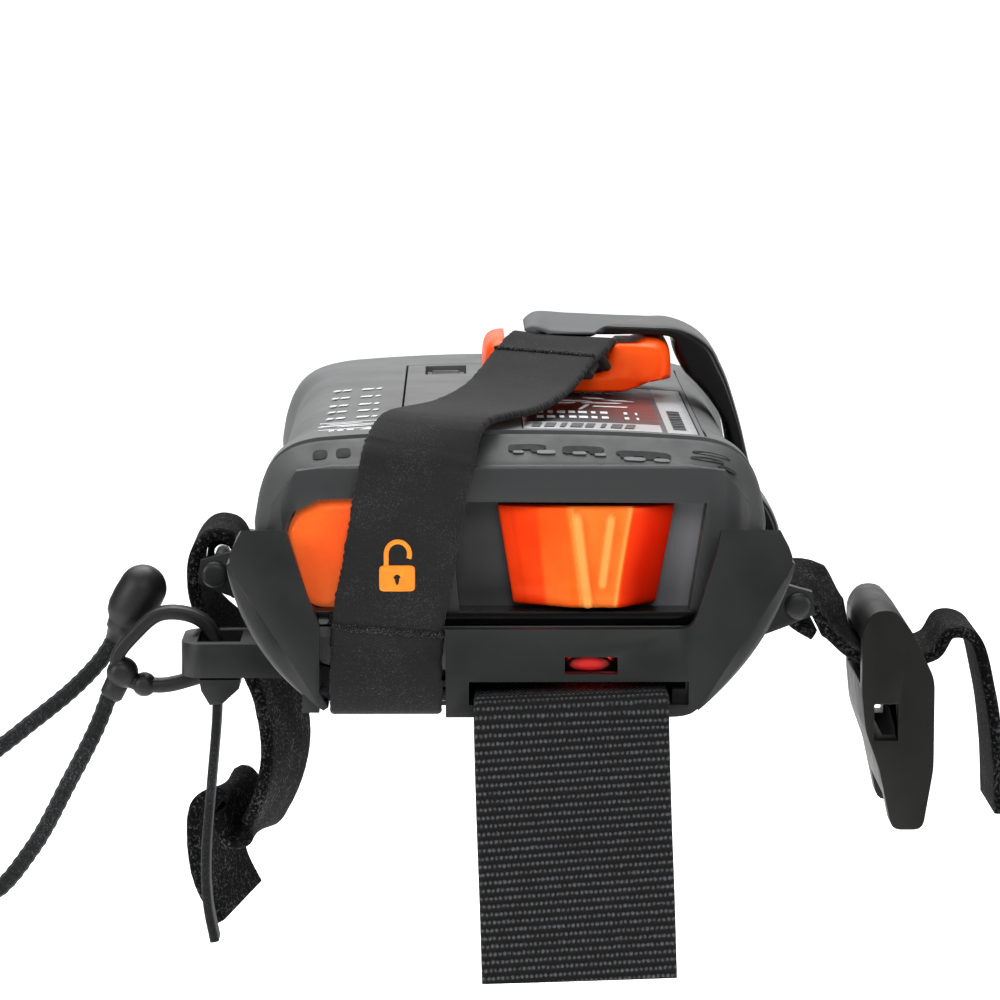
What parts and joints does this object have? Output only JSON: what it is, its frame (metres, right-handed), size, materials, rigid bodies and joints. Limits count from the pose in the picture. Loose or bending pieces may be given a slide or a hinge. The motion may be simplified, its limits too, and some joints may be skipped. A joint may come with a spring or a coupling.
{
  "type": "avalanche transceiver in harness cradle",
  "caption": "Handheld rescue transceiver held display down in a moulded harness cradle by an elastic strap and hook, with a sliding switch, side straps, lanyard and hanging webbing.",
  "frame": {"origin": "centre of the cradle's flat underside, the face worn against the body", "axes": "+X to the right seen from the switch end, +Y along the unit away from the switch end, +Z out of the cradle's underside through the unit's back"},
  "size_m": [0.1488, 0.1299, 0.0798],
  "materials": {
    "black_plastic": "fine moulded texture",
    "grey_plastic": "fine texture",
    "frame_grey": "satin",
    "hoop_rubber": "matt",
    "orange_plastic": "satin gloss",
    "elastic": "felted elastic",
    "webbing": "woven",
    "soft_rubber": "satin",
    "foam": "matt foam",
    "label": "printed, glossy",
    "clear": "glossy",
    "red_lens": "clear red",
    "steel": "plain",
    "ferrite": "matt",
    "board": "solder mask",
    "cell": "printed wrap"
  },
  "bodies": {
    "cradle_and_unit": {"cradle": "black_plastic", "tail_slider": "black_plastic", "battery_tray": "black_plastic", "selector_track": "black_plastic", "front_shell": "grey_plastic", "rear_cover": "grey_plastic", "battery_door": "grey_plastic", "switch_frame": "frame_grey", "bumper_rim": "hoop_rubber", "corner_lens": "orange_plastic", "retention_strap": "elastic", "left_elastic_strap": "elastic", "right_elastic_strap": "elastic", "shoulder_webbing": "webbing", "tail_strap": "webbing", "shell_gasket": "soft_rubber", "keypad_mat": "soft_rubber", "cradle_pad": "foam", "back_label": "label", "display_module": "clear", "display_window": "clear", "status_light": "red_lens", "strap_bar": "steel", "left_strap_pin": "steel", "right_strap_pin": "steel", "arm_pin": "steel", "contact_plate_near": "steel", "contact_plate_far": "steel", "speaker": "steel", "shell_screw_1": "steel", "shell_screw_2": "steel", "shell_screw_3": "steel", "shell_screw_4": "steel", "antenna_long": "ferrite", "antenna_cross": "ferrite", "antenna_vertical": "ferrite", "main_board": "board", "battery_1": "cell", "battery_2": "cell", "battery_3": "cell"},
    "selector": {"selector_switch": "orange_plastic", "selector_magnet": "steel"},
    "latch": {"battery_latch": "black_plastic"},
    "left_key": {"button_left": "black_plastic"},
    "right_key": {"button_right": "black_plastic"},
    "hook": {"release_hook": "orange_plastic"},
    "arm": {"retainer_arm": "black_plastic"},
    "lanyard": {"lanyard_ring": "soft_rubber", "lanyard_cord": "webbing", "cord_grip": "soft_rubber"},
    "buckle": {"buckle_socket": "black_plastic"}
  },
  "joints": [
    {"name": "selector_slide", "type": "slide", "parent": "cradle_and_unit", "child": "selector", "axis": [1, 0, 0], "range_m": [-0.0036, 0.0036]},
    {"name": "latch_slide", "type": "slide", "parent": "cradle_and_unit", "child": "latch", "axis": [0, 1, 0], "range_m": [0, 0.003]},
    {"name": "left_key_press", "type": "slide", "parent": "cradle_and_unit", "child": "left_key", "axis": [0, 0, 1], "range_m": [0, 0.0008], "stiffness_N_per_m": 300},
    {"name": "right_key_press", "type": "slide", "parent": "cradle_and_unit", "child": "right_key", "axis": [0, 0, 1], "range_m": [0, 0.0008], "stiffness_N_per_m": 300},
    {"name": "hook_pull", "type": "slide", "parent": "cradle_and_unit", "child": "hook", "axis": [0, 1, 0], "range_m": [0, 0.006], "stiffness_N_per_m": 250, "deforming": ["retention_strap"]},
    {"name": "arm_swing", "type": "hinge", "parent": "cradle_and_unit", "child": "arm", "pos_m": [0.0361, 0.002, 0.0146], "axis": [0, 1, 0], "range_deg": [0, 95]},
    {"name": "ring_swing", "type": "hinge", "parent": "cradle_and_unit", "child": "lanyard", "pos_m": [-0.0422, -0.0386, 0.005], "axis": [0, 1, 0], "range_deg": [-17, 15]},
    {"name": "buckle_swing", "type": "hinge", "parent": "cradle_and_unit", "child": "buckle", "pos_m": [0.05284, -0.022, 0.0022], "axis": [0, 1, 0], "range_deg": [-5, 15]}
  ]
}
